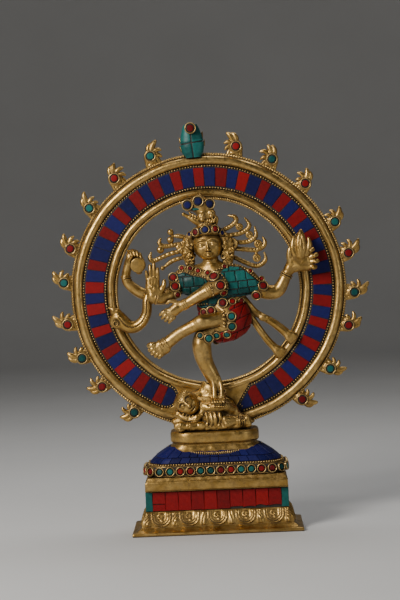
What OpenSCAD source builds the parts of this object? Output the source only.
// Brass nataraja statue: a four-armed dancing figure inside a stone-inlaid ring of flames,
// standing on a stepped and inlaid pedestal.
// Z is up, X runs to the viewer's right and Y runs away from the viewer.
// The origin is the middle of the pedestal's underside.

/* [Pedestal] */
// Width of the foot moulding
foot_w = 142; // [136:1:150]
// Depth of the foot moulding
foot_d = 68; // [64:1:76]
// Height of the foot's stepped flange
flange_h = 6.5; // [5:0.5:8]
// Height of the foot with its sloping band of lotus petals
foot_h = 19; // [17:1:21]
// Setback of the die from the edge of the foot
die_inset = 11.5; // [10:0.5:13]
// Height of the top of the die
die_top = 37; // [35:1:40]
// Depth of the cornice
cornice_d = 55; // [52:1:58]
// Height of the top of the cornice
cornice_top = 47.5; // [46:0.5:49]
// Width of the domed shoulder
dome_w = 117; // [112:1:118]
// Depth of the domed shoulder
dome_d = 50; // [46:1:52]
// Corner radius of the domed shoulder
dome_r = 18; // [14:1:20]
// Height of the middle of the row of gems
gem_row_z = 52.4; // [52:0.2:53]
// Number of gems round the shoulder
gem_row_count = 36; // [32:4:40]
// Height of the underside of the slab that the dancer's ring stands on
slab_low = 74.7; // [74:0.1:76]
// Height of the top of that slab
slab_top = 84; // [83:0.5:86]
// Width of the slab
slab_w = 74; // [70:1:78]
// Depth of the slab
slab_d = 46; // [42:1:48]
// Wall of the hollow castings
wall = 4; // [3:0.5:5]

/* [Ring] */
// Height of the ring's centre above the slab
ring_rise = 115.9; // [115:0.1:117]
// Outer radius of the ring's plate
ring_outer = 115.8; // [115:0.2:117]
// Inner radius of the ring's plate
ring_inner = 76.5; // [75:0.1:77]
// Middle radius of the outer half-round rail
outer_rail_r = 109.4; // [109:0.1:110]
// Middle radius of the inner half-round rail
inner_rail_r = 82.2; // [82:0.1:83]
// Radius of each rail's own section
rail_r = 3.7; // [3.5:0.1:4]
// Depth of the front of the plate behind the middle plane
plate_front = 3; // [2.5:0.5:4]
// Thickness of the plate
plate_t = 4; // [3:0.5:5]
// Inner radius of the stone tiles
tile_inner = 88; // [87.5:0.1:90]
// Outer radius of the stone tiles
tile_outer = 103.4; // [103:0.1:104]
// Angle of the right-hand end of the inlaid channel
channel_start = -77; // [-80:1:-75]
// Angle that the inlaid channel turns through
channel_sweep = 328; // [324:1:332]
// Number of coral tiles
coral_count = 28; // [24:1:32]

/* [Flames] */
// Angle and radius of each flame's gem on the left side
left_flames = [
    [111, 123], [127.6, 123], [142.9, 121.6], [160.7, 121.3], [174.5, 121.6],
    [191.1, 122], [205.7, 120.6], [219.6, 120.6], [236.2, 120]
];
// Angle and radius of each flame's gem on the right side
right_flames = [
    [76.9, 123.2], [61.9, 122.4], [45.6, 121], [26.3, 120.6], [12.8, 121.4],
    [-2.9, 122.4], [-16.2, 121], [-35, 121.4], [-51.6, 120.6]
];
// Reach of the longest tongue beyond the gem
flame_reach = 10.5; // [9:0.5:13]
// Outer radius of a flame's bezel
flame_bezel_r = 5.0; // [4.5:0.1:5.4]
// Angle of the crest finial
crest_angle = 94; // [90:1:96]
// Width of the crest
crest_w = 19.6; // [18:0.2:21]
// Height of the crest
crest_h = 29; // [26:0.5:30]

/* [Hidden] */
brass = "#b08a45";
bright_brass = "#c9a45e";
lapis = "#1d2158";
coral = "#8c1d1e";
turquoise = "#1f7770";
mastic = "#16150f";

$fn = 48;

// Widths and heights that follow from the driving dimensions
die_w = foot_w - 2 * die_inset;
die_d = foot_d - 2 * die_inset;
tile_t = 1.0;
mastic_t = 0.5;
skin_t = tile_t + mastic_t;
die_band_h = 1.5;
gem_row_pitch = rim_length() / gem_row_count;
ring_z = slab_top + ring_rise;
ring_foot_w = 52;
ring_foot_h = 9;
ring_mid_y = plate_front + plate_t / 2;
screw_x = 20;
bolt_y = -6;
bolt_r = 3;
// Height of the hollow's ceiling, which the nut and the screw heads bear on
ceiling_z = 56.5;
seam = 0.3;

// Rows of [inset, height] that shape the pedestal's sloping blocks
flange_steps = [[0, 0], [0, 2.8], [1.6, 3.4], [4.2, 4.3], [6.4, flange_h - 0.5], [7.5, flange_h]];
petal_slope = [for (i = [1 : 6])
    [7.5 + (die_inset - 7.5) * (1 - cos(15 * i)), flange_h + (foot_h - flange_h) * i / 6]];
cornice_steps = [[0.5, die_top], [0, die_top + 0.6], [0, 43.4], [0.8, 44.2], [1.6, cornice_top]];

// Rows of [height, width, depth, corner radius] that shape the domed shoulder
dome_layers = [
    [cornice_top, dome_w - 1, dome_d, dome_r],
    [54, dome_w, dome_d + 0.5, dome_r],
    [56.5, dome_w - 2.4, dome_d - 0.2, dome_r],
    [58.5, dome_w - 9, dome_d - 2, dome_r],
    [61, dome_w - 13, dome_d - 4.5, 17],
    [64, dome_w - 19, dome_d - 8, 16],
    [67, dome_w - 28, dome_d - 12.5, 14],
    [69.5, dome_w - 36, dome_d - 17.5, 12],
    [72, dome_w - 44, dome_d - 23, 10]
];

// Points of the figure are [x, y, height above the slab, radius]
chest = [[-15, -7, 124, 10], [31, -7, 123, 10], [8, -9, 128, 11.5], [20, -8, 117, 10.5], [3, -8, 114, 9.5]];
waist = [[9, -8, 106, 10.5], [14, -8, 98, 12]];
hips = [[16, -7, 92, 18], [10, -8, 86, 13], [3, -8, 96, 11]];

// Settings on the body are [x, y, height above the slab, outer radius]
armlet_corals = [
    [-28.6, -13, 128.6, 4], [-27.6, -14, 120.7, 4.2], [-26.3, -13, 114.5, 2.8],
    [5.4, -21, 127.7, 4.4], [9.9, -22, 121, 4.4], [12.1, -20, 115.4, 3],
    [45.3, -13, 118.3, 4.2], [40, -14, 111.7, 4]
];
collar_corals = [
    [-21.1, -15, 135.6, 2.4], [-14.3, -17.5, 135.4, 2.4], [-7.8, -19, 133.2, 2.4], [0.2, -20, 131.3, 2.4],
    [14.2, -18, 135.7, 2.2], [35, -15, 131.1, 2.2], [44.7, -11, 124.5, 2.2]
];
waist_corals = [
    [1.6, -20, 100.1, 3.6], [-4, -18, 99.1, 3],
    [11.5, -21, 105.9, 4], [19.2, -20, 106.8, 3], [26, -17, 107.4, 2.8]
];
thigh_turquoises = [[18.1, -23, 94.9, 3.8], [18.1, -23, 87, 3.8], [14, -22, 80.6, 3.2], [5.7, -20, 79.8, 3]];
knee_turquoises = [[-1.7, -20, 77.6, 4], [-8, -17, 79.7, 2.8], [4.8, -18, 74.2, 2.8]];
band_corals = [[-8.3, -20.5, 165.5, 3.4], [7.4, -20.5, 167.5, 3.4]];
band_lapis = [[-0.6, -21.5, 167.3, 3.6], [-13.4, -14, 163.5, 2.6], [12.9, -14, 164.2, 2.6]];
top_lapis = [[-14.5, -12, 188.3, 4.3], [-5.5, -12, 191, 4.4], [4, -12, 188.5, 4]];

// One rounded corner rectangle, drawn flat
module round_rect(w, d, r) {
    square([w - 2 * r, d], center = true);
    square([w, d - 2 * r], center = true);
    for (x = [-1, 1], y = [-1, 1]) translate([x * (w / 2 - r), y * (d / 2 - r)]) circle(r);
}

// A block whose four sides all follow the same rows of [inset, height]
module stepped_block(w, d, rows) {
    module outline(half) {
        polygon(concat(
            [for (p = rows) [half - p[0], p[1]]],
            [for (i = [len(rows) - 1 : -1 : 0]) [rows[i][0] - half, rows[i][1]]]));
    }
    intersection() {
        rotate([90, 0, 0]) linear_extrude(d + 2, center = true) outline(w / 2);
        rotate([90, 0, 90]) linear_extrude(w + 2, center = true) outline(d / 2);
    }
}

module box(w, d, low, high, x = 0, y = 0) {
    translate([x - w / 2, y - d / 2, low]) cube([w, d, high - low]);
}

// The shoulder's outer form between two heights' rows, shrunk all round by a margin
module dome_form(shrink = 0, first = 0, last = len(dome_layers) - 1) {
    hull() for (i = [first : last]) {
        row = dome_layers[i];
        translate([0, 0, row[0] - shrink * (i > 1 ? 1 : 0)]) linear_extrude(0.02)
            round_rect(row[1] - 2 * shrink, row[2] - 2 * shrink, row[3] - shrink, $fn = 24);
    }
}

// Distance round the shoulder, and the point and heading at a distance from its front middle
function rim_length() = 2 * (dome_w - 2 * dome_r) + 2 * (dome_d - 2 * dome_r) + 2 * PI * dome_r;
function rim_place(s) = s < 0 ? rim_mirror(rim_place(-s)) : s > rim_length() / 2
    ? rim_mirror(rim_place(rim_length() - s)) : rim_half(s);
function rim_mirror(p) = [-p[0], p[1], -p[2]];
function rim_half(s) =
    let (flat = dome_w / 2 - dome_r, side = dome_d / 2 - dome_r, bend = PI * dome_r / 2)
    s < flat ? [s, -dome_d / 2, 0]
    : s < flat + bend ? let (a = 90 * (s - flat) / bend)
        [flat + dome_r * sin(a), -side - dome_r * cos(a), a]
    : s < flat + bend + 2 * side ? [dome_w / 2, -side + s - flat - bend, 90]
    : s < flat + 2 * bend + 2 * side ? let (a = 90 * (s - flat - bend - 2 * side) / bend)
        [flat + dome_r * cos(a), side + dome_r * sin(a), 90 + a]
    : [2 * flat + 2 * bend + 2 * side - s, dome_d / 2, 180];

// A round setting facing the viewer, with its back on the children's plane
module bezel(r, t = 2, rim = 0.8) {
    rotate([90, 0, 0]) difference() {
        cylinder(h = t, r = r);
        translate([0, 0, 0.5]) cylinder(h = t, r = r - rim);
    }
}

// A domed stone that fills a bezel of the same radius
module cabochon(r, t = 2, rim = 0.8) {
    stone = r - rim - 0.15;
    rotate([90, 0, 0]) translate([0, 0, 0.5]) rotate_extrude(convexity = 2)
        polygon(concat([[0, 0], [stone, 0], [stone, t - 1.2]],
            [for (a = [15 : 15 : 90]) [stone * cos(a), t - 1.2 + 1.3 * sin(a)]]));
}

// A rounded limb through points of [x, y, z, radius]
module limb(points, facets = 12) {
    for (i = [0 : len(points) - 2]) hull() {
        ball(points[i], facets);
        ball(points[i + 1], facets);
    }
}
module ball(p, facets = 12) { translate([p[0], p[1], p[2]]) sphere(p[3], $fn = facets); }
module blob(points, facets = 14) { hull() for (p = points) ball(p, facets); }

// A short run of the ring: a section turned about the ring's axis between two angles
module ring_arc(start, sweep) {
    translate([0, 0, ring_z]) rotate([90, 0, 0])
        rotate_extrude(angle = sweep, start = start, $fn = 120) children();
}
module on_ring(angle, r) {
    translate([0, 0, ring_z]) rotate([0, -angle, 0]) translate([r, 0, 0]) children();
}
module on_slab() { translate([0, 0, slab_top]) children(); }

// ---- Pedestal ----

module foot_plinth() {
    color(brass) difference() {
        stepped_block(foot_w, foot_d, concat(flange_steps, petal_slope));
        box(die_w - 2 * wall, die_d - 2 * wall, -1, foot_h + 1);
    }
}

module die_block() {
    color(brass) difference() {
        union() {
            box(die_w - 2 * skin_t, die_d - skin_t, foot_h, die_top, y = skin_t / 2);
            box(die_w, die_d, die_top - die_band_h, die_top);
        }
        box(die_w - 2 * wall, die_d - 2 * wall, foot_h - 1, die_top + 1);
    }
}

module die_skin(low_gap, from, to) {
    z0 = foot_h + low_gap;
    z1 = die_top - die_band_h - 0.1;
    box(die_w - 2 * skin_t, to - from, z0, z1, y = -(die_d / 2 - skin_t) - (from + to) / 2);
    for (side = [-1, 1])
        box(to - from, die_d - skin_t - 1, z0, z1,
            x = side * (die_w / 2 - skin_t + (from + to) / 2), y = skin_t / 2);
}

module die_mastic() { color(mastic) die_skin(0.05, 0, mastic_t); }

strip_w = 4.4;
front_tiles = 10;
side_tiles = 4;

module die_coral_tiles() {
    run = die_w - 2 * skin_t - 2 * strip_w;
    step = run / front_tiles;
    z1 = die_top - die_band_h - 0.4;
    side_run = die_d - skin_t - 2 * strip_w;
    side_step = side_run / side_tiles;
    color(coral) {
        for (i = [0 : front_tiles - 1]) let (ragged = i > 5 ? 1.2 + 0.6 * sin(140 * i) : 0.3)
            box(step - seam, tile_t, foot_h + ragged, z1,
                x = -run / 2 + step * (i + 0.5), y = -(die_d - tile_t) / 2);
        for (side = [-1, 1], i = [0 : side_tiles - 1])
            box(tile_t, side_step - seam, foot_h + 0.3, z1,
                x = side * (die_w - tile_t) / 2, y = -side_run / 2 + skin_t / 2 + side_step * (i + 0.5));
    }
}

module die_turquoise_strips() {
    z1 = die_top - die_band_h - 0.3;
    color(turquoise) for (side = [-1, 1]) {
        box(strip_w + skin_t - seam, tile_t, foot_h + 0.2, z1,
            x = side * (die_w - strip_w - skin_t) / 2, y = -(die_d - tile_t) / 2);
        for (end = [-1, 1])
            box(tile_t, strip_w - 0.6, foot_h + 0.2, z1, x = side * (die_w - tile_t) / 2,
                y = end < 0 ? -(die_d - strip_w) / 2 + tile_t : (die_d - strip_w) / 2);
    }
}

module cornice() {
    color(brass) difference() {
        stepped_block(dome_w + 1.4, cornice_d, cornice_steps);
        box(die_w - 2 * wall, die_d - 2 * wall, die_top - 1, cornice_top + 1);
    }
}

module dome_shoulder() {
    color(brass) difference() {
        union() {
            dome_form(first = 0, last = 2);
            dome_form(shrink = skin_t, first = 2);
        }
        translate([0, 0, -0.5]) dome_form(shrink = wall + 0.5, first = 0, last = 4);
        translate([0, bolt_y, 50]) cylinder(h = 40, r = bolt_r + 0.2);
        for (x = [-1, 1]) translate([x * screw_x, ring_mid_y, 50]) cylinder(h = 40, r = 2.2);
    }
}

// The neck grows out of the shoulder and flares into the slab
module neck_slab() {
    color(brass) difference() {
        union() {
            hull() {
                translate([0, 0, 62]) linear_extrude(4) round_rect(slab_w + 1, 37, 14);
                translate([0, 0, 71]) linear_extrude(slab_low - 71) round_rect(slab_w - 7, 34, 13);
            }
            translate([0, 0, slab_low]) linear_extrude(slab_top - slab_low) round_rect(slab_w, slab_d, 16);
        }
        dome_form();
        translate([0, bolt_y, 50]) cylinder(h = 40, r = bolt_r + 0.2);
        for (x = [-1, 1]) translate([x * screw_x, ring_mid_y, 50]) cylinder(h = 40, r = 2.2);
    }
}

// The lapis skin of the shoulder, cut into tiles by upright seams
module dome_lapis_tiles() {
    rays = 11;
    color(lapis) difference() {
        dome_form(first = 2);
        dome_form(shrink = skin_t - 0.5, first = 2);
        box(200, 200, 50, 58.6);
        linear_extrude(80) round_rect(slab_w + 4, 40, 14, $fn = 16);
        for (i = [0 : rays - 1]) rotate([0, 0, (i + 0.37) * 180 / rays]) box(200, seam, 55, 75);
    }
}

// A wire all round a rounded rectangle
module rim_wire(w, d, r, wire) {
    for (y = [-1, 1]) translate([0, y * d / 2, 0]) rotate([0, 90, 0])
        cylinder(h = w - 2 * r, r = wire, center = true, $fn = 16);
    for (x = [-1, 1]) translate([x * w / 2, 0, 0]) rotate([90, 0, 0])
        cylinder(h = d - 2 * r, r = wire, center = true, $fn = 16);
    for (x = [-1, 1], y = [-1, 1]) translate([x * (w / 2 - r), y * (d / 2 - r), 0])
        rotate([0, 0, x > 0 ? (y > 0 ? 0 : 270) : (y > 0 ? 90 : 180)])
            rotate_extrude(angle = 90) translate([r, 0]) circle(wire, $fn = 16);
}

module dome_bead_wire() {
    color(bright_brass) translate([0, 0, 57.6]) rim_wire(dome_w - 6.5, dome_d - 1.6, dome_r, 0.7);
}

// The wire at the foot of the neck rides up over the ends of the shoulder
module neck_serrated_wire() {
    steps = 32;
    function spot(a) = [38.6 * cos(a), 19.6 * sin(a), 66.6 + 4 * pow(cos(a), 2), 0.9];
    color(bright_brass) limb([for (i = [0 : steps]) spot(360 * i / steps)], facets = 6);
}

module gem_row_mastic() {
    color(mastic) translate([0, 0, gem_row_z - 3.6]) difference() {
        linear_extrude(7.2) round_rect(dome_w + 0.9, dome_d + 0.9, dome_r);
        translate([0, 0, -1]) linear_extrude(10) round_rect(dome_w + 0.5, dome_d + 0.5, dome_r);
    }
}

// Pairs of coral and turquoise take turns round the shoulder
function is_coral(k) = (k % 4 == 1) || (k % 4 == 2);
module gem_row(kind) {
    for (k = [0 : gem_row_count - 1]) if (kind == "all" || (kind == "coral") == is_coral(k)) {
        p = rim_place((k - 0.5) * gem_row_pitch);
        translate([p[0], p[1], gem_row_z]) rotate([0, 0, p[2]]) translate([0, -0.45, 0]) children();
    }
}
row_bezel_r = 3.9;
module gem_row_bezels() { color(bright_brass) gem_row("all") bezel(row_bezel_r, t = 1.8, rim = 0.7); }
module gem_row_corals() { color(coral) gem_row("coral") cabochon(row_bezel_r, t = 1.8, rim = 1.1); }
module gem_row_turquoises() {
    color(turquoise) gem_row("turquoise") cabochon(row_bezel_r, t = 1.8, rim = 1.1);
}

// ---- Hidden fixings ----

module anchor_bolt() {
    color("silver") translate([0, bolt_y, ceiling_z - 5.8])
        cylinder(h = slab_top - ceiling_z + 13.8, r = bolt_r);
}

module anchor_nut() {
    color("silver") translate([0, bolt_y, ceiling_z - 5.5]) difference() {
        union() {
            cylinder(h = 4.5, r = 5.8, $fn = 6);
            translate([0, 0, 4.5]) cylinder(h = 1, r = 7.5);
        }
        translate([0, 0, -1]) cylinder(h = 10, r = bolt_r);
    }
}

module ring_screws() {
    color("silver") for (x = [-1, 1]) translate([x * screw_x, ring_mid_y, ceiling_z]) {
        cylinder(h = slab_top - ceiling_z + 6, r = 2);
        translate([0, 0, -2.4]) cylinder(h = 2.4, r = 3.8);
    }
}

// ---- Ring of flames ----

module plate_section() {
    translate([ring_inner, -plate_front - plate_t]) square([ring_outer - ring_inner, plate_t]);
}

module ring_casting() {
    color(brass) {
        difference() {
            union() {
                ring_arc(0, 360) plate_section();
                for (r = [inner_rail_r, outer_rail_r])
                    ring_arc(0, 360) intersection() {
                        translate([r, -plate_front]) circle(rail_r, $fn = 24);
                        translate([r - rail_r, -plate_front - 1]) square([2 * rail_r, rail_r + 1]);
                    }
                ring_arc(channel_start + channel_sweep, 360 - channel_sweep)
                    translate([inner_rail_r, -plate_front]) square([outer_rail_r - inner_rail_r, 1.6]);
                box(ring_foot_w, plate_t, slab_top, slab_top + ring_foot_h, y = ring_mid_y);
            }
            for (x = [-1, 1]) translate([x * screw_x, ring_mid_y, slab_top - 1]) cylinder(h = 7, r = 2);
        }
    }
}

module ring_mastic() {
    color(mastic) ring_arc(channel_start - 1, channel_sweep + 2)
        translate([inner_rail_r + rail_r + 0.2, -plate_front])
            square([outer_rail_r - inner_rail_r - 2 * rail_r - 0.4, 0.9]);
}

// A coral tile is followed by a lapis one, or by two at a couple of places
doubled = [0, 19];
function is_doubled(i) = len([for (d = doubled) if (d == i) d]) > 0;
function tile_kinds() = ["lapis", for (i = [0 : coral_count - 1]) each
    is_doubled(i) ? ["coral", "lapis", "lapis"] : ["coral", "lapis"]];
function tile_share(kinds, i) = (kinds[i] == "coral" ? 0.93 : 1) * (1 + 0.09 * sin(131 * i));
function shares_before(kinds, i) = i == 0 ? 0 : shares_before(kinds, i - 1) + tile_share(kinds, i - 1);

module ring_tiles(kind) {
    kinds = tile_kinds();
    per_share = channel_sweep / shares_before(kinds, len(kinds));
    for (i = [0 : len(kinds) - 1]) if (kinds[i] == kind) {
        gap = 0.22;
        ring_arc(channel_start + per_share * shares_before(kinds, i) + gap / 2,
            per_share * tile_share(kinds, i) - gap)
            translate([tile_inner, -plate_front + 0.9]) square([tile_outer - tile_inner, 1.3]);
    }
}
module ring_lapis_tiles() { color(lapis) ring_tiles("lapis"); }
module ring_coral_tiles() { color(coral) ring_tiles("coral"); }

module ring_bead_wires() {
    mid = (tile_inner + tile_outer) / 2;
    color(bright_brass) {
        for (r = [tile_inner - 1.4, tile_outer + 1.1])
            ring_arc(channel_start, channel_sweep) translate([r, -plate_front + 1.7]) circle(0.8, $fn = 16);
        for (end = [channel_start - 0.6, channel_start + channel_sweep + 0.6])
            on_ring(end, mid) rotate([0, 90, 0]) translate([0, plate_front - 1.7, 0])
                cylinder(h = tile_outer - tile_inner + 3, r = 0.8, center = true, $fn = 16);
    }
}

// A flat flame with five tongues; its base is on the ring and it points along +X
module flame(reach) {
    tongues = [[-74, 0.7 * reach], [-38, 0.85 * reach], [0, reach], [38, 0.85 * reach], [74, 0.7 * reach]];
    rotate([-90, 0, 0]) linear_extrude(3.2, center = true)
        polygon(concat([[-10, -4]],
            [for (t = tongues) each [
                5.6 * [cos(t[0] - 18), sin(t[0] - 18)], t[1] * [cos(t[0]), sin(t[0])]]],
            [5.6 * [cos(92), sin(92)], [-10, 4]]));
}

module each_flame(both = true, pick_coral = true) {
    for (i = [0 : len(left_flames) - 1]) if (both || (i % 2 == 1) == pick_coral)
        on_ring(left_flames[i][0], left_flames[i][1]) children();
    for (i = [0 : len(right_flames) - 1]) if (both || (i % 2 == 0) == pick_coral)
        on_ring(right_flames[i][0], right_flames[i][1]) children();
}

flame_y = 3.6;
flame_front = flame_y - 1.6;
crest_low = ring_outer - 3.2;
crest_gem = crest_low + crest_h - 5;
crest_bezel_r = 4.8;

module flame_finials() {
    color(brass) difference() {
        each_flame() translate([0, flame_y, 0]) flame(flame_reach);
        ring_arc(0, 360) translate([ring_inner, -plate_front - plate_t - 1])
            square([ring_outer - ring_inner, plate_t + 2]);
    }
}
module flame_bezels() {
    color(bright_brass) {
        each_flame() translate([0, flame_front, 0]) bezel(flame_bezel_r, t = 2.4, rim = 0.8);
        on_ring(crest_angle, crest_gem) translate([0, -4.6, 0]) bezel(crest_bezel_r, t = 2.4, rim = 0.8);
    }
}
module flame_corals() {
    color(coral) {
        each_flame(both = false) translate([0, flame_front, 0]) cabochon(flame_bezel_r, t = 2.4, rim = 1.3);
        on_ring(crest_angle, crest_gem) translate([0, -4.6, 0]) cabochon(crest_bezel_r, t = 2.4, rim = 1.3);
    }
}
module flame_turquoises() {
    color(turquoise) each_flame(both = false, pick_coral = false)
        translate([0, flame_front, 0]) cabochon(flame_bezel_r, t = 2.4, rim = 1.3);
}

// Half-width of the crest's bud at a share of its height
function bud_half(t) = crest_w / 2 * pow(sin(180 * pow(0.06 + 0.92 * t, 0.8)), 0.6);

module crest_outline(shrink) {
    steps = 12;
    polygon(concat(
        [for (i = [0 : steps]) [crest_low + crest_h * i / steps, max(0.4, bud_half(i / steps) - shrink)]],
        [for (i = [steps : -1 : 0])
            [crest_low + crest_h * i / steps, -max(0.4, bud_half(i / steps) - shrink)]]));
}

module crest_slice(shrink, from, to) {
    on_ring(crest_angle, 0) rotate([90, 0, 0]) translate([0, 0, -to]) linear_extrude(to - from)
        crest_outline(shrink);
}

module crest_finial() {
    color(brass) difference() {
        union() {
            crest_slice(2.2, -3.2, 3);
            crest_slice(0, 3, 5);
        }
        ring_arc(0, 360) translate([ring_inner, -plate_front - plate_t - 1])
            square([ring_outer - ring_inner, plate_t + 1 + rail_r + 2]);
    }
}

module crest_turquoise_tiles() {
    color(turquoise) difference() {
        union() {
            crest_slice(1, -4.6, -3.2);
            difference() {
                crest_slice(0.6, -3.2, 2.9);
                crest_slice(2.2, -4, 4);
            }
        }
        on_ring(crest_angle, crest_low) translate([crest_h / 2, 0, 0]) cube([60, 30, seam], center = true);
        on_ring(crest_angle, crest_low) translate([crest_h * 0.42, 0, 0]) cube([seam, 30, 30], center = true);
        ring_arc(0, 360) translate([ring_inner, -plate_front - plate_t - 1])
            square([ring_outer - ring_inner, plate_t + 1 + rail_r + 2]);
        on_ring(crest_angle, crest_gem) rotate([90, 0, 0]) cylinder(h = 20, r = crest_bezel_r + 0.1);
    }
}

// ---- Dancer ----

module torso() {
    color(brass) on_slab() {
        torso_core(12);
        blob([[34, -8, 118, 6], [22, -14, 117, 6.5]]);
        blob([[22, -14, 117, 6.5], [9, -18, 121, 6]]);
    }
}

module head() {
    color(brass) on_slab() {
        blob([[0.6, -9, 158, 11], [0.8, -9, 152, 10.4], [1.6, -11, 147, 5]]);
        limb([[1.4, -19, 157, 1.2], [1.7, -21.6, 151.6, 1.9]], facets = 10);
        for (x = [-1, 1]) {
            blob([[1 + 11 * x, -7, 155, 2.4], [1 + 11.5 * x, -7, 148, 1.8]], facets = 10);
            blob([[1 + 4.6 * x, -18, 155.5, 1.9], [1 + 6 * x, -17, 155.6, 1.6]], facets = 10);
        }
        blob([[-1.4, -18.4, 147.4, 1.6], [4.4, -18.4, 147.5, 1.6]], facets = 10);
        ball([1.8, -15.6, 144.4, 3]);
    }
}

module crown() {
    color(brass) on_slab() {
        blob([[-8, -11, 164, 5.8], [9, -11, 165.4, 5.8], [0.6, -8, 166, 10]]);
        limb([[0.4, -8, 167, 8], [-0.6, -8, 173, 5.6], [-3, -8, 180, 6], [-5, -8, 187, 7.2]]);
        limb([[-5, -8, 188, 6.4], [-13.6, -8, 187, 4.6]]);
        limb([[-5, -8, 188, 6.4], [3.4, -8, 187.5, 4.6]]);
        limb([[-8, -10, 176, 2.6], [-13.7, -10, 179, 2.2], [-17.3, -10, 181.4, 1.6]], facets = 10);
        limb([[3, -10, 174, 3], [6.4, -10, 179.4, 3.2]], facets = 10);
        ball([-2.6, -13.2, 179.1, 3.6]);
    }
}

module crown_bezels() {
    color(bright_brass) on_slab() {
        for (p = concat(band_corals, band_lapis, top_lapis)) translate([p[0], p[1], p[2]]) bezel(p[3]);
    }
}
module crown_lapis() {
    color(lapis) on_slab() for (p = concat(band_lapis, top_lapis))
        translate([p[0], p[1], p[2]]) cabochon(p[3]);
}
module crown_corals() {
    color(coral) on_slab() for (p = band_corals) translate([p[0], p[1], p[2]]) cabochon(p[3]);
}
module crown_turquoise_bar() {
    color(turquoise) on_slab() translate([-5, -14.6, 184.6]) rotate([0, 2, 0])
        cube([9.6, 2.4, 1.8], center = true);
}

// Locks of hair fly out flat behind the head and curl up at the end
hair_y = -4;
left_locks = [
    [[-10, 160], [-19, 163.5], [-25.5, 163.4], [-30, 160]],
    [[-11, 156], [-20, 155.6], [-27, 155.4], [-34.5, 154.4], [-38.4, 151]],
    [[-11, 151], [-19, 150.2], [-30, 148.6], [-40, 144.8], [-46, 142.8], [-47.2, 149]],
    [[-11, 146], [-19, 144.4], [-29, 142.4], [-38, 137.4]]
];
left_knobs = [[-30.3, 166, 2.6], [-29.6, 159.4, 2.9], [-38.9, 156.4, 2.2], [-38.5, 150.4, 2.8]];
right_locks = [
    [[9, 164], [15, 166.6], [21.8, 170.7], [24.6, 174], [21.6, 176]],
    [[10, 161], [17, 161.6], [27.7, 162.4], [34.6, 166], [35.2, 171.6]],
    [[11, 156.4], [19, 155.9], [30, 154.8], [39.6, 156.8], [41.4, 164]],
    [[11, 151], [20, 150.3], [32, 149.2], [43, 147], [48, 149], [48.2, 154.2]],
    [[11, 146], [19.5, 144.1], [29, 140], [41.4, 135.4], [48.2, 138], [48.6, 143.4]]
];
right_knobs = [[27.7, 167.6, 2.9], [35, 160.6, 2.9], [41.5, 152.9, 3.1], [40.4, 141.4, 3.3]];

module locks(rows, knobs) {
    on_slab() {
        for (row = rows) limb([for (p = row) [p[0], hair_y, p[1], 1.6]], facets = 8);
        for (k = knobs) translate([k[0], hair_y, k[1]]) rotate([90, 0, 0])
            cylinder(h = 3, r = k[2], center = true, $fn = 16);
    }
}
module hair_left() { color(brass) locks(left_locks, left_knobs); }
module hair_right() { color(brass) locks(right_locks, right_knobs); }

module ear_ornaments() {
    color(brass) on_slab() {
        translate([-17.6, -8, 153.2]) rotate([90, 45, 0]) cylinder(h = 4, r = 5.4, center = true, $fn = 4);
        translate([-12.8, -7, 146]) cube([4.4, 6, 12], center = true);
        translate([19.6, -8, 154.5]) rotate([90, 0, 0]) cylinder(h = 4.4, r = 4.8, center = true);
        translate([15.2, -7, 146.4]) cube([4.4, 6, 13], center = true);
    }
}

// A hand: a palm with four fingers fanned round a direction in the X-Z plane, and a thumb
module hand(palm, heading, finger, spread, thumb_turn) {
    ball(palm, 12);
    for (i = [-1.5 : 1 : 1.5]) let (a = heading + spread * i,
        root = [palm[0] + palm[3] * 0.7 * cos(a), palm[1], palm[2] + palm[3] * 0.7 * sin(a)])
        limb([[root[0], root[1], root[2], finger * 0.14],
            [root[0] + finger * cos(a), root[1] - 0.6, root[2] + finger * sin(a), finger * 0.1]], facets = 8);
    limb([palm * 1 + [0, 0, 0, -palm[3] + finger * 0.16],
        [palm[0] + finger * 0.9 * cos(heading + thumb_turn), palm[1] - 1,
            palm[2] + finger * 0.9 * sin(heading + thumb_turn), finger * 0.12]], facets = 8);
}

module crossing_arm() {
    color(brass) on_slab() {
        limb([[8, -21, 120.6, 5.6], [-1, -21.5, 116.4, 5.2], [-9, -21.5, 112.6, 4.6], [-18, -21, 108, 3.9],
            [-24, -20.5, 104.6, 4]]);
        hand([-27.6, -20.5, 102, 5], 222, 10.5, 15, -75);
    }
}

module blessing_arm() {
    color(brass) on_slab() {
        limb([[-28, -9, 117, 5.6], [-33, -12, 114, 5.4], [-40, -17, 114.6, 4.2], [-45.4, -19, 117, 3.8]]);
        hand([-46, -19.5, 122.4, 5.2], 88, 13, 6, -52);
    }
}

module drum_arm() {
    color(brass) on_slab() {
        limb([[-28, -5, 118, 5.4], [-38, -4, 114, 5], [-50, -4, 113, 4.4], [-60, -4, 117.4, 4.2],
            [-66.4, -4, 124, 3.8],
            [-68, -4, 131, 3.5], [-65.6, -5, 138, 3.8], [-62.5, -5, 144, 4.4]]);
        limb([[-62.5, -6, 144, 3.6], [-57, -9, 146, 2.2]]);
        limb([[-62.5, -5, 146, 3.6], [-58, -7, 152, 2.4]]);
    }
}

module hand_drum() {
    color(brass) on_slab() {
        limb([[-58.4, -8, 151.4, 5.2], [-58, -8, 147, 3.2], [-57.4, -8, 142, 5.4]]);
    }
}

module fire_arm() {
    color(brass) on_slab() {
        limb([[44, -8, 114.5, 5.6], [51, -8, 112.4, 5.4], [58, -8, 113.6, 5.2], [63, -8, 121, 4.5],
            [66, -8, 129, 4], [70, -8, 134, 5]]);
        hand([74.6, -8, 136, 6.6], -8, 12.5, 14, 168);
        hand([79, -8.6, 134.6, 4.6], 6, 9, 10, 40);
    }
}

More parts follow.
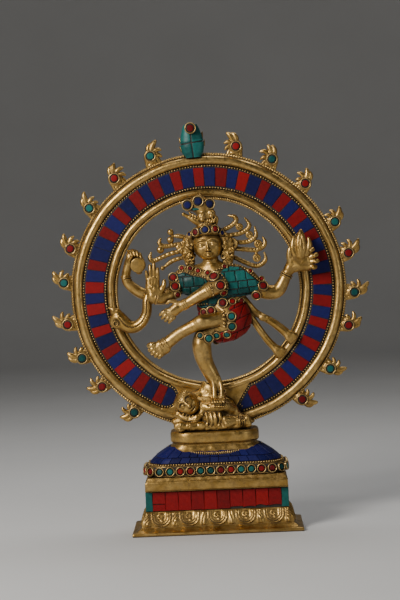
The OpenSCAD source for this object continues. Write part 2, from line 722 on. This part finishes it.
module palm_flame() {
    color(brass) on_slab() {
        limb([[77.8, -9, 144.4, 4.6], [78, -9, 150.4, 5.2], [79, -9, 156, 3.4], [79.4, -9, 161.4, 1]]);
        limb([[76, -10, 147, 3.6], [72.4, -10, 153, 2.4], [72.2, -10, 157, 1]]);
        limb([[80, -10, 147, 3.6], [84, -10, 152, 2.4], [84.6, -10, 156, 1]]);
        limb([[78, -13, 147, 2.4], [78.4, -13, 154, 1.2]]);
    }
}

module lifted_leg() {
    color(brass) on_slab() {
        limb([[14, -18, 90, 6.6], [6, -21, 89.6, 6.6], [-4, -22, 87.4, 7], [-12, -22, 83.6, 6.2],
            [-22, -21.5, 78.6, 5.4],
            [-33, -20.5, 74, 4.6], [-38, -20, 71.6, 4.6]]);
        limb([[-38, -20, 71.6, 4.8], [-42, -21, 68.6, 5.2], [-46, -22, 67.4, 4.4]]);
        for (i = [0 : 4]) let (a = 140 + 24 * i)
            limb([[-45.6, -22, 67.2, 2.6],
                [-45.6 + 8.2 * cos(a), -22.6, 67.2 + 6.6 * sin(a), 1.7]], facets = 8);
    }
}

module standing_leg() {
    color(brass) on_slab() {
        limb([[2, -11, 82, 9], [-3, -14, 77, 7.8], [-7.2, -15, 70, 7.7], [-6.6, -14, 63, 7.4],
            [-4, -12.5, 56, 6.6],
            [-0.4, -11.5, 49, 5.6], [3.6, -10.5, 40, 4.6], [5.2, -10.5, 33.4, 4.6], [5.6, -11, 27, 5.2]]);
        limb([[5.6, -10, 25.4, 4.4], [3.8, -17, 23.6, 4]]);
        for (i = [-2 : 2]) limb([[3.6 + 1.3 * i, -17, 23.2, 2.2],
            [2.6 + 1.9 * i, -22, 22, 1.4]], facets = 8);
    }
}

// The two sash ends fly out behind the hip and are fixed to the front of the ring's inner rail
module sash_ends() {
    color(brass) on_slab() {
        limb([[27, -4, 109, 3], [31.5, -3.5, 105, 2.8], [38.5, -3, 96.3, 2.9], [45, -3, 90.6, 3.2],
            [52, -3, 85.6, 3.4], [60, -3, 79.6, 4.2], [67, -3, 73.6, 4.8]], facets = 10);
        limb([[30, -3.5, 97, 2.8], [36, -3, 90.5, 2.8], [44, -3, 77.6, 3], [50, -3, 69.4, 3.4],
            [56, -3, 64, 4.2], [63, -3, 61.4, 4.4]], facets = 10);
    }
}

module serpent() {
    color(brass) on_slab() {
        limb([[-50, -9, 113, 3.4], [-51.6, -10, 108, 3.4], [-51, -10, 103, 3.3],
            [-52.6, -10, 97, 3.4], [-56.6, -9, 91, 3.6],
            [-62, -8, 87.4, 3.9], [-68.6, -7, 87, 4.6], [-74.6, -6, 90.4, 5.6], [-78, -5, 96, 5.2],
            [-78.6, -6, 101, 3.6]]);
        limb([[-78.4, -6, 100, 3.4], [-74.4, -9, 101, 2.2]]);
    }
}

// Tiles of the bodice: a skin over the chest, cut by seams
module bodice_turquoise_tiles() {
    grow = 1.2;
    color(turquoise) on_slab() difference() {
        union() {
            blob([for (p = chest) p + [0, 0, 0, grow]], facets = 10);
            blob([for (p = [chest[3], chest[4], waist[0]]) p + [0, 0, 0, grow]], facets = 10);
        }
        torso_core(10);
        translate([0, 0, 140]) cube([80, 60, 12], center = true);
        limb([[34, -8, 118, 7.2], [22, -14, 117, 8], [9, -18, 121, 8], [-9, -21.5, 112.6, 7]]);
        limb([[12, -8, 131, 10], [3, -9, 142, 8]]);
        for (z = [115, 125]) translate([8, 0, z]) cube([90, 60, seam], center = true);
        for (x = [-14, 1, 15, 29]) translate([x, 0, 120]) rotate([0, -8, 0])
            cube([seam, 60, 60], center = true);
    }
}
module torso_core(facets = 14) {
    blob(chest, facets);
    blob(concat([chest[3], chest[4]], [waist[0]]), facets);
    blob(waist, facets);
    blob(concat([waist[1]], hips), facets);
    limb([[7, -8, 130, 8], [4, -8, 136, 6], [3, -9, 142, 5.2]]);
    limb([[-15, -7, 126, 9], [-23, -6, 123, 7.4], [-28, -6, 119, 6]]);
    limb([[31, -7, 123, 9], [38, -7, 119, 7.4], [43, -7, 115.5, 6]]);
}

module hip_coral_tiles() {
    grow = 1.2;
    color(coral) on_slab() difference() {
        blob([for (p = hips) p + [0, 0, 0, grow]], facets = 10);
        torso_core(10);
        limb([[14, -18, 90, 7.4], [6, -21, 89.6, 7.4], [-4, -22, 87.4, 7.8], [-12, -22, 83.6, 7]]);
        limb([[2, -11, 82, 9.8], [-3, -14, 77, 8.6], [-7.2, -15, 70, 8.5]]);
        for (z = [85, 95]) translate([14, 0, z]) rotate([0, 12, 0]) cube([80, 60, seam], center = true);
        for (x = [6, 17, 28]) translate([x, 0, 92]) rotate([0, 12, 0]) cube([seam, 60, 60], center = true);
    }
}

module limb_bezels() {
    color(bright_brass) on_slab()
        for (p = concat(armlet_corals, collar_corals, waist_corals, thigh_turquoises, knee_turquoises))
            translate([p[0], p[1], p[2]]) bezel(p[3], t = 2);
}
module limb_corals() {
    color(coral) on_slab() for (p = concat(armlet_corals, collar_corals, waist_corals))
        translate([p[0], p[1], p[2]]) cabochon(p[3]);
}
module limb_turquoises() {
    color(turquoise) on_slab() for (p = concat(thigh_turquoises, knee_turquoises))
        translate([p[0], p[1], p[2]]) cabochon(p[3]);
}

// ---- Dwarf under the dancer's foot ----

module dwarf_body() {
    color(brass) on_slab() difference() {
        union() {
            blob([[-14, -6, 12, 7], [-4, -8, 9, 8.4]]);
            blob([[-4, -8, 9, 8.4], [8, -7, 9, 8.4]]);
            limb([[8, -9, 9, 7.4], [7.4, -18, 6.6, 5.4], [16, -17, 4.8, 4.8], [24, -15, 4.4, 4.2],
                [31, -12, 4.2, 4]]);
            limb([[-18, -10, 10, 5], [-27, -12, 8, 4], [-28, -16, 3.4, 3.6]]);
            limb([[-12, -14, 12, 4], [-10.6, -18, 7, 3.4], [-14.4, -18, 3, 3.2]]);
            blob([[-16, -2, 20, 6], [12, -2, 16, 6], [3, -4, 17, 6.4]]);
            blob([[-22, -1, 32, 4], [-12, -1, 28, 4.4], [-8, -2, 18, 5]]);
            blob([[16, -1, 28, 4.6], [14, -2, 14, 5.6], [28, -1, 8, 6]]);
            blob([[-30, -1, 8, 5.4], [30, -1, 6, 5.4], [0, -4, 6, 6]]);
            blob([[8, -13, 16.4, 3.6], [0, -14, 17, 3.6]]);
        }
        box(120, 80, -20, 0);
        box(120, 20, -1, 60, y = plate_front - 0.2 + 10);
        translate([0, bolt_y, -1]) cylinder(h = 9, r = bolt_r);
    }
}

module dwarf_head() {
    color(brass) on_slab() {
        blob([[-23.6, -15, 22.6, 8], [-22.6, -15, 19.4, 7.4]]);
        ball([-22, -22.6, 19.8, 1.8]);
        for (p = [[-26.4, -22.2, 22.4, 1.5], [-19.6, -22, 21, 1.5]]) ball(p);
        limb([[-23.4, -22, 16.2, 1.2], [-19.4, -21.6, 15, 1.2]], facets = 8);
        blob([[-31, -13, 21, 2], [-30.6, -13, 17, 1.6]], facets = 8);
        blob([[-15.6, -13, 19, 2], [-15.4, -13, 15, 1.6]], facets = 8);
    }
}

foot_plinth();
die_block();
cornice();
dome_shoulder();
neck_slab();
die_mastic();
die_coral_tiles();
die_turquoise_strips();
dome_lapis_tiles();
dome_bead_wire();
neck_serrated_wire();
gem_row_mastic();
gem_row_bezels();
gem_row_corals();
gem_row_turquoises();
anchor_bolt();
anchor_nut();
ring_screws();
ring_casting();
ring_mastic();
ring_lapis_tiles();
ring_coral_tiles();
ring_bead_wires();
flame_finials();
flame_bezels();
flame_corals();
flame_turquoises();
crest_finial();
crest_turquoise_tiles();
torso();
head();
crown();
crown_bezels();
crown_lapis();
crown_corals();
crown_turquoise_bar();
hair_left();
hair_right();
ear_ornaments();
crossing_arm();
blessing_arm();
drum_arm();
hand_drum();
fire_arm();
palm_flame();
lifted_leg();
standing_leg();
sash_ends();
serpent();
bodice_turquoise_tiles();
hip_coral_tiles();
limb_bezels();
limb_corals();
limb_turquoises();
dwarf_body();
dwarf_head();
